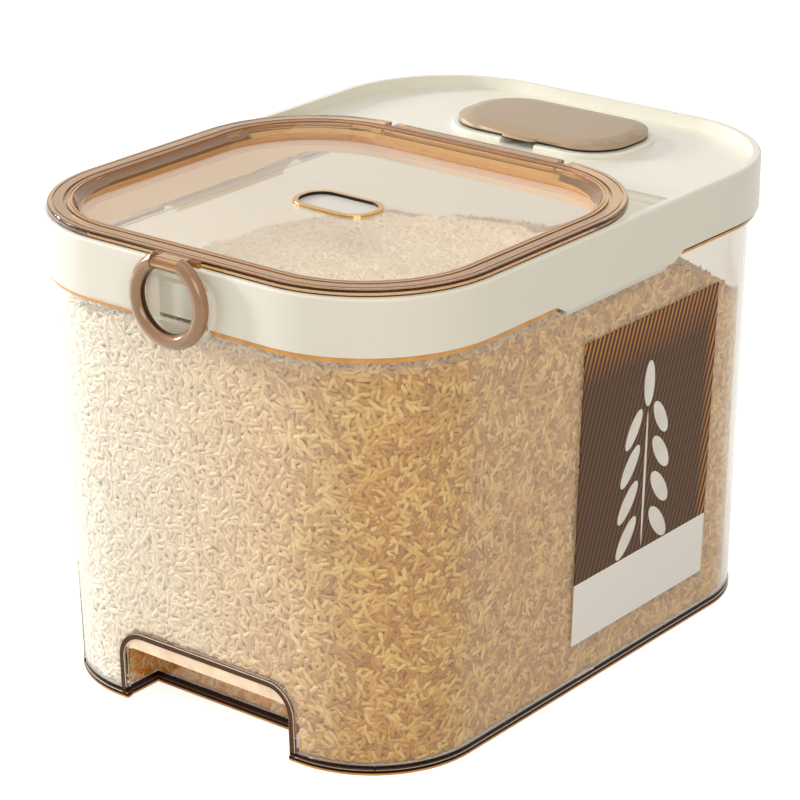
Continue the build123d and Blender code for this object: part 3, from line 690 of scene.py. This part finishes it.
def makeCore(material):
    # the closed heap behind the grains, with the front recess cut out of it
    steps, rows, rings = heap["core"].values()
    inset = tub["wall"] + heap["bedGap"] + heap["coreGap"]
    side, crown = riceShell(inset, steps, rows, rings)
    points = [p for line in side[:-1] for p in line]
    points += [(x, y, z - heap["coreGap"]) for line in side[-1:] + crown[:-1] for x, y, z in line]
    count = rows + rings - 1
    tip = len(points)
    last = tip - steps
    points.append((0, 0, heapHeight(0, 0) - heap["coreGap"]))
    faces = gridFaces(count, steps, wrap=True)
    faces.append(tuple(reversed(range(steps))))
    faces += [(last + k, last + (k + 1) % steps, tip) for k in range(steps)]
    core = meshPiece("riceCore", points, faces)
    core.data.materials.append(material)

    sizes = (tub["recessWidth"] + 2 * inset, 2 * (tub["recessDepth"] + inset),
             2 * (tub["recessHeight"] + inset))
    spread = Matrix.Diagonal([size * mm for size in sizes] + [1])
    bm = bmesh.new()
    bmesh.ops.create_cube(bm, size=1.0, matrix=Matrix.Translation(Vector((0, tubFront * mm, 0))) @ spread)
    block = bpy.data.meshes.new("recessBlock")
    bm.to_mesh(block)
    bm.free()
    cutter = bpy.data.objects.new("recessBlock", block)
    bpy.context.scene.collection.objects.link(cutter)
    cut = core.modifiers.new("recess", "BOOLEAN")
    cut.object = cutter
    cut.operation = "DIFFERENCE"
    cut.solver = "EXACT"
    bakeModifiers(core)
    bpy.data.objects.remove(cutter)
    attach(core, "container")


def grainTree():
    # scatters grains on a bed: length, width, spacing, tilt, sink and seed are its inputs
    tree = bpy.data.node_groups.new("scatterGrains", "GeometryNodeTree")
    face = tree.interface
    face.new_socket("Geometry", in_out="INPUT", socket_type="NodeSocketGeometry")
    for name in ("Length", "Width", "Spacing", "Tilt", "Sink"):
        face.new_socket(name, in_out="INPUT", socket_type="NodeSocketFloat")
    face.new_socket("Seed", in_out="INPUT", socket_type="NodeSocketInt")
    face.new_socket("Material", in_out="INPUT", socket_type="NodeSocketMaterial")
    face.new_socket("Geometry", in_out="OUTPUT", socket_type="NodeSocketGeometry")
    given = put(tree, "NodeGroupInput").outputs
    # one lying grain
    ball = put(tree, "GeometryNodeMeshUVSphere", {"Segments": grain["sides"], "Rings": grain["rings"],
                                                  "Radius": 0.5})
    thick = put(tree, "ShaderNodeMath", {0: given["Width"], 1: grain["flat"]}, operation="MULTIPLY")
    size = put(tree, "ShaderNodeCombineXYZ", {0: thick, 1: given["Width"], 2: given["Length"]})
    kernel = put(tree, "GeometryNodeTransform", {"Geometry": ball, "Scale": size})
    laid = put(tree, "GeometryNodeTransform", {"Geometry": kernel, "Rotation": (0.0, math.pi / 2, 0.0)})
    # where the grains lie, sunk a little by chance
    spots = put(tree, "GeometryNodeDistributePointsOnFaces",
                {"Mesh": given["Geometry"], "Distance Min": given["Spacing"], "Density Max": grain["density"],
                 "Density Factor": 1.0, "Seed": given["Seed"]}, distribute_method="POISSON")
    deep = put(tree, "FunctionNodeRandomValue", {2: -1.0, 3: 0.0, "Seed": chance["sink"]},
               data_type="FLOAT")
    depth = put(tree, "ShaderNodeMath", {0: deep.outputs[1], 1: given["Sink"]}, operation="MULTIPLY")
    down = put(tree, "ShaderNodeVectorMath", {0: spots.outputs["Normal"], "Scale": depth}, operation="SCALE")
    sunk = put(tree, "GeometryNodeSetPosition", {"Geometry": spots, "Offset": down})
    # how they are turned, tilted and stretched
    spin = put(tree, "FunctionNodeRandomValue", {2: 0.0, 3: 2 * math.pi, "Seed": chance["spin"]},
               data_type="FLOAT")
    turn = put(tree, "ShaderNodeCombineXYZ", {2: spin.outputs[1]})
    first = put(tree, "FunctionNodeRotateRotation", {0: spots.outputs["Rotation"], 1: turn},
                rotation_space="LOCAL")
    lean = put(tree, "FunctionNodeRandomValue", {"Min": (-1.0, -1.0, 0.0), "Max": (1.0, 1.0, 0.0),
                                                 "Seed": chance["lean"]}, data_type="FLOAT_VECTOR")
    tilt = put(tree, "ShaderNodeVectorMath", {0: lean, "Scale": given["Tilt"]}, operation="SCALE")
    second = put(tree, "FunctionNodeRotateRotation", {0: first, 1: tilt}, rotation_space="LOCAL")
    stretch = put(tree, "FunctionNodeRandomValue", {"Min": grain["smallest"], "Max": grain["largest"],
                                                    "Seed": chance["stretch"]}, data_type="FLOAT_VECTOR")
    many = put(tree, "GeometryNodeInstanceOnPoints", {"Points": sunk, "Instance": laid, "Rotation": second,
                                                      "Scale": stretch})
    # each with its own shade
    shade = put(tree, "FunctionNodeRandomValue", {2: 0.0, 3: 1.0, "Seed": chance["shade"]},
                data_type="FLOAT")
    named = put(tree, "GeometryNodeStoreNamedAttribute", {"Geometry": many, "Name": "grainShade",
                                                          "Value": shade.outputs[1]},
                data_type="FLOAT", domain="INSTANCE")
    real = put(tree, "GeometryNodeRealizeInstances", {"Geometry": named})
    smooth = put(tree, "GeometryNodeSetShadeSmooth", {"Geometry": real, "Shade Smooth": True})
    dressed = put(tree, "GeometryNodeSetMaterial", {"Geometry": smooth, "Material": given["Material"]})
    put(tree, "NodeGroupOutput", {"Geometry": dressed})
    return tree


def nudgeInside(piece):
    # each grain is shifted whole until it clears the tub's wall, floor and recess
    mesh = piece.data
    flat = np.empty(len(mesh.vertices) * 3)
    mesh.vertices.foreach_get("co", flat)
    spots = flat.reshape(-1, grain["sides"] * (grain["rings"] - 1) + 2, 3) / mm
    x, y, z = (spots[..., k] for k in range(3))
    every = np.arange(len(spots))
    clear = tub["wall"] + grain["clear"]
    tiny = 1e-6

    # in from the wall, along the way to the corner's centre, and up from the floor
    width, length, corner, middle = tubPlan(z)
    qx, qy = np.abs(x) - width / 2 + corner, np.abs(y - middle) - length / 2 + corner
    depth = beyond(qx, qy, corner) + clear
    worst = every, depth.argmax(axis=1)
    ax = (np.maximum(qx, 0) * np.sign(x))[worst]
    ay = (np.maximum(qy, 0) * np.sign(y - middle))[worst]
    move = np.maximum(depth[worst], 0) / np.maximum(np.hypot(ax, ay), tiny)
    x -= (move * ax)[:, None]
    y -= (move * ay)[:, None]
    z += np.maximum(tub["floor"] + grain["clear"] - z.min(axis=1), 0)[:, None]

    # out of the recess, through its arch or its back, whichever is nearer
    corner = tub["recessCorner"]
    qx, qz = np.abs(x) - tub["recessWidth"] / 2 + corner, z - tub["recessHeight"] + corner
    depth = np.where(y < recessBack + clear, clear - beyond(qx, qz, corner), -1.0)
    worst = every, depth.argmax(axis=1)
    move = np.maximum(depth[worst], 0)
    back = recessBack + clear - y.min(axis=1)
    ax, az = (np.maximum(qx, 0) * np.sign(x))[worst], np.maximum(qz, 0)[worst]
    size = np.hypot(ax, az)
    goBack = (back < move) | (size < tiny)
    aside = np.where(goBack, 0, move / np.maximum(size, tiny))
    x += (aside * ax)[:, None]
    z += (aside * az)[:, None]
    y += np.where(goBack & (move > 0), back, 0)[:, None]
    mesh.vertices.foreach_set("co", (spots * mm).ravel())
    mesh.update()


def scatter(bed, tree, material, seed):
    # grows the grains on a bed, in place of it
    wanted = {"Length": grain["length"] * mm, "Width": grain["width"] * mm, "Spacing": grain["spacing"] * mm,
              "Tilt": math.radians(grain["tilt"]), "Sink": grain["sink"] * mm, "Seed": seed,
              "Material": material}
    grow = bed.modifiers.new("grains", "NODES")
    grow.node_group = tree
    for item in tree.interface.items_tree:
        if item.in_out == "INPUT" and item.name in wanted:
            grow[item.identifier] = wanted[item.name]
    bakeModifiers(bed)
    nudgeInside(bed)
    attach(bed, "container")
    print(bed.name, len(bed.data.polygons), "faces")


riceLook = {"marks": (0.15, 0.5, 0.9), "pale": ("#F9F3EA", "#FFFEFB", "#FFFFFF"),
            # the gold tones are painted shade, and the recess tones are painted warm light round the finger
            # recess
            "shadeGold": ("#BA802B", "#DBA94B", "#F4D488"), "recess": ("#F09A3C", "#FFC472", "#FFEAC4"),
            # all lit pale and all shaded gold: x, plus a share of the way back from the front, plus clouds
            "litPaleUntil": -48.0, "shadeGoldFrom": 104.0, "front": -150.0, "rearShare": 0.75,
            "cloudSize": 55.0, "cloudReach": 24.0,
            # on the lit top, between these heights, the painted shade gold falls to litGold
            "litFrom": 188.0, "litTo": 202.0, "litGold": 0.2,
            "speck": 1.4, "ownShare": 0.75, "roughness": 0.42, "ior": 1.42}


def riceTones(tree, tone, tint):
    # one tint of rice, from the deepest grain to the palest
    return put(tree, "ShaderNodeValToRGB", {0: tone}, stops=list(zip(riceLook["marks"], riceLook[tint])))


def riceColour(tree, tone):
    # painted light and shade: paler at the front left and on top, where the light falls on it, and more
    # golden to the right and rear, where it lies in shade
    shadeGold = riceTones(tree, tone, "shadeGold")
    pale = riceTones(tree, tone, "pale")
    where = put(tree, "ShaderNodeSeparateXYZ", {0: places(tree)}).outputs
    cloud = put(tree, "ShaderNodeTexNoise", {"Vector": places(tree, riceLook["cloudSize"]), "Scale": 1.0})
    fromFront = put(tree, "ShaderNodeMath", {0: where["Y"], 1: riceLook["front"]}, operation="SUBTRACT")
    rearward = put(tree, "ShaderNodeMath", {0: fromFront, 1: riceLook["rearShare"]}, operation="MULTIPLY")
    even = put(tree, "ShaderNodeMath", {0: where["X"], 1: rearward}, operation="ADD")
    drift = put(tree, "ShaderNodeMath", {0: cloud, 1: riceLook["cloudReach"]}, operation="MULTIPLY")
    place = put(tree, "ShaderNodeMath", {0: even, 1: drift}, operation="ADD")
    across = put(tree, "ShaderNodeMapRange", {"Value": place, "From Min": riceLook["litPaleUntil"],
                                              "From Max": riceLook["shadeGoldFrom"]})
    low = put(tree, "ShaderNodeMapRange", {"Value": where["Z"], "From Min": riceLook["litFrom"],
                                           "From Max": riceLook["litTo"], "To Min": 1.0,
                                           "To Max": riceLook["litGold"]})
    share = put(tree, "ShaderNodeMath", {0: across, 1: low}, operation="MULTIPLY")
    return put(tree, "ShaderNodeMix", {0: share, 6: pale, 7: shadeGold}, data_type="RGBA").outputs[2]


def riceMaterial(name, colour):
    # raw polished rice: chalky kernels, each a little whiter or yellower than the next
    material, tree = newMaterial(name)
    own = put(tree, "ShaderNodeAttribute", attribute_name="grainShade").outputs["Fac"]
    speck = put(tree, "ShaderNodeTexNoise", {"Vector": places(tree, riceLook["speck"]), "Scale": 1.0})
    mostly = put(tree, "ShaderNodeMath", {0: own, 1: riceLook["ownShare"]}, operation="MULTIPLY")
    partly = put(tree, "ShaderNodeMath", {0: speck, 1: 1 - riceLook["ownShare"]}, operation="MULTIPLY")
    tone = put(tree, "ShaderNodeMath", {0: mostly, 1: partly}, operation="ADD")
    kernel = put(tree, "ShaderNodeBsdfPrincipled", {"Base Color": colour(tree, tone), "IOR": riceLook["ior"],
                                                    "Roughness": riceLook["roughness"]})
    put(tree, "ShaderNodeOutputMaterial", {"Surface": kernel})
    return material


coreLook = {"cell": 2.6, "palest": 0.75, "fall": 0.7, "bump": 0.6, "depth": 1.0, "roughness": 0.7}


def coreMaterial():
    # what shows between the front grains: more rice, with painted shade, darkest towards the edges of its
    # cells
    material, tree = newMaterial("rice_in_shade")
    cells = put(tree, "ShaderNodeTexVoronoi", {"Vector": places(tree, coreLook["cell"]), "Scale": 1.0})
    fall = put(tree, "ShaderNodeMath", {0: cells, 1: coreLook["fall"]}, operation="MULTIPLY")
    tone = put(tree, "ShaderNodeMath", {0: coreLook["palest"], 1: fall}, operation="SUBTRACT")
    bump = put(tree, "ShaderNodeBump", {"Height": tone, "Strength": coreLook["bump"],
                                        "Distance": coreLook["depth"] * mm})
    pile = put(tree, "ShaderNodeBsdfPrincipled", {"Base Color": riceColour(tree, tone), "Normal": bump,
                                                  "Roughness": coreLook["roughness"]})
    put(tree, "ShaderNodeOutputMaterial", {"Surface": pile})
    return material


def makeRice():
    makeCore(coreMaterial())
    tree = grainTree()
    kernel = riceMaterial("raw_rice_painted_light_shade", riceColour)
    # round the finger recess, the warm light that came through the tub twice is painted into the rice
    warm = riceMaterial("raw_rice_recess_painted_warm_light", lambda tree, tone: riceTones(tree, tone, "recess"))
    inset = tub["wall"] + heap["bedGap"]
    steps, rows, rings = heap["bed"].values()
    side, crown = riceShell(inset, steps, rows, rings)

    for count, (name, (start, end)) in enumerate(heap["sides"].items()):
        columns = [k % steps for k in range(start, end + 1)]
        points = [line[k] for line in side for k in columns]
        faces = []
        for face in gridFaces(rows - 1, len(columns)):
            x, y, z = (sum(points[i][k] for i in face) / 4 for k in range(3))
            if y > 0 or outsideArch(x, z) > tub["wall"] - heap["archGap"]:
                faces.append(face)
        scatter(meshPiece(name, points, faces), tree, kernel, grain["sideSeed"] + count)

    lines = [side[-1]] + crown
    points = [p for line in lines for p in line]
    faces = gridFaces(len(lines), steps, wrap=True)
    for count, (name, half) in enumerate(heap["crowns"].items()):
        kept = [face for face in faces if half * sum(points[i][1] for i in face) >= 0]
        scatter(meshPiece(name, points, kept), tree, kernel, grain["crownSeed"] + count)

    right, top = tub["recessWidth"] / 2 + inset, tub["recessHeight"] + inset
    near, back = tubFront + inset, recessBack + inset
    low = tub["floor"] - heap["floorDip"]
    corners = ((-right, near), (-right, back), (right, back), (right, near))
    points = [(x, y, z) for z in (low, top) for x, y in corners]
    faces = [(0, 1, 5, 4), (1, 2, 6, 5), (2, 3, 7, 6), (4, 5, 6, 7)]
    scatter(meshPiece("riceRecess", points, faces), tree, warm, grain["recessSeed"])


makeRice()
print("rice poured")


label = {"stripe": 3.5, "slope": 0.36, "lineFrom": 0.0, "lineTo": 0.7, "bandTop": 54.0, "band": "#FAFAFB",
         "dim": ("#3A220B", "#714B22"), "lit": ("#411E04", "#CB8A3C"),     # between the lines, the lines
         "glowDepth": 22.0, "glowTop": 4.0, "glowSide": 9.0, "glowEdge": 3.0, "face": 0.31, "ink": 0.05,
         "inkTones": ((0.3, "#E4E2DC"), (0.7, "#F1EFEA")), "inkCloud": 12.0, "inkSteps": 28}


def labelMaterial():
    # printed film: fine slanted stripes on brown, lit along the top and far edge, with a pale band below
    material, tree = newMaterial("printed_film")
    where = put(tree, "ShaderNodeSeparateXYZ", {0: places(tree)}).outputs
    far, top = (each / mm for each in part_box("side_label")[1][1:])
    shift = put(tree, "ShaderNodeMath", {0: where["Z"], 1: label["slope"]}, operation="MULTIPLY")
    slanted = put(tree, "ShaderNodeMath", {0: where["Y"], 1: shift}, operation="SUBTRACT")
    phase = put(tree, "ShaderNodeMath", {0: slanted, 1: 2 * math.pi / label["stripe"]}, operation="MULTIPLY")
    wave = put(tree, "ShaderNodeMath", {0: phase}, operation="SINE")
    line = put(tree, "ShaderNodeMapRange", {"Value": wave, "From Min": label["lineFrom"],
                                            "From Max": label["lineTo"]})
    down = put(tree, "ShaderNodeMapRange", {"Value": where["Z"], "From Min": top - label["glowDepth"],
                                            "From Max": top - label["glowTop"]})
    aside = put(tree, "ShaderNodeMapRange", {"Value": where["Y"], "From Min": far - label["glowSide"],
                                             "From Max": far - label["glowEdge"]})
    glow = put(tree, "ShaderNodeMath", {0: down, 1: aside}, operation="MAXIMUM")
    dim, lit = (put(tree, "ShaderNodeMix", {0: line, 6: between, 7: along}, data_type="RGBA").outputs[2]
                for between, along in (label["dim"], label["lit"]))
    field = put(tree, "ShaderNodeMix", {0: glow, 6: dim, 7: lit}, data_type="RGBA").outputs[2]
    band = put(tree, "ShaderNodeMath", {0: where["Z"], 1: label["bandTop"]}, operation="LESS_THAN")
    whole = put(tree, "ShaderNodeMix", {0: band, 6: field, 7: label["band"]}, data_type="RGBA").outputs[2]
    film = put(tree, "ShaderNodeBsdfPrincipled", {"Base Color": whole, "Roughness": 0.5, "IOR": 1.3})
    put(tree, "ShaderNodeOutputMaterial", {"Surface": film})
    return material


def inkMaterial():
    # pale screen ink of the printed ear of grain
    material, tree = newMaterial("pale_screen_ink")
    worn = put(tree, "ShaderNodeTexNoise", {"Vector": places(tree, label["inkCloud"]), "Scale": 1.0})
    tone = put(tree, "ShaderNodeValToRGB", {0: worn}, stops=label["inkTones"])
    ink = put(tree, "ShaderNodeBsdfPrincipled", {"Base Color": tone, "Roughness": 0.45})
    put(tree, "ShaderNodeOutputMaterial", {"Surface": ink})
    return material


ear = {"middle": 35.0,
       # out from the middle, z, half length, half width and lean of each pair of kernels, up the stem
       "pairs": [(13.0, 64.0, 11.4, 4.3, 52.0), (13.0, 82.0, 11.4, 4.3, 52.0), (12.5, 100.0, 11.2, 4.2, 54.0),
                 (11.0, 118.0, 10.4, 3.9, 58.0)],
       "tip": (0.0, 138.0, 11.4, 4.2, 90.0), "stem": (0.0, 90.0, 34.0, 0.9, 90.0)}


def printKernel(points, faces, out, z, long, wide, lean):
    # one flat oval of ink, lying on the film
    steps, first, turn = label["inkSteps"], len(points), math.radians(lean)
    for level in (label["face"] - label["ink"], label["face"] + label["ink"]):
        for k in range(steps):
            angle = 2 * math.pi * k / steps
            a, b = long * math.cos(angle), wide * math.sin(angle)
            py = ear["middle"] + out + a * math.cos(turn) - b * math.sin(turn)
            pz = z + a * math.sin(turn) + b * math.cos(turn)
            points.append((tubPlan(pz)[0] / 2 + level, py, pz))
    inner, outer = range(first, first + steps), range(first + steps, first + 2 * steps)
    faces += [tuple(outer), tuple(reversed(inner))]
    faces += [(inner[k], inner[(k + 1) % steps], outer[(k + 1) % steps], outer[k]) for k in range(steps)]


def makeLabel():
    materials["label"] = labelMaterial()
    sheet = smoothCopy("side_label", "sideLabel", ["label"])
    points, faces = [], []
    for out, z, long, wide, lean in ear["pairs"]:
        printKernel(points, faces, -out, z, long, wide, lean)
        printKernel(points, faces, out, z, long, wide, 180.0 - lean)
    printKernel(points, faces, *ear["tip"])
    printKernel(points, faces, *ear["stem"])
    motif = meshPiece("labelInk", points, faces)
    motif.data.materials.append(inkMaterial())
    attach(motif, "container")


makeLabel()
print("label printed")
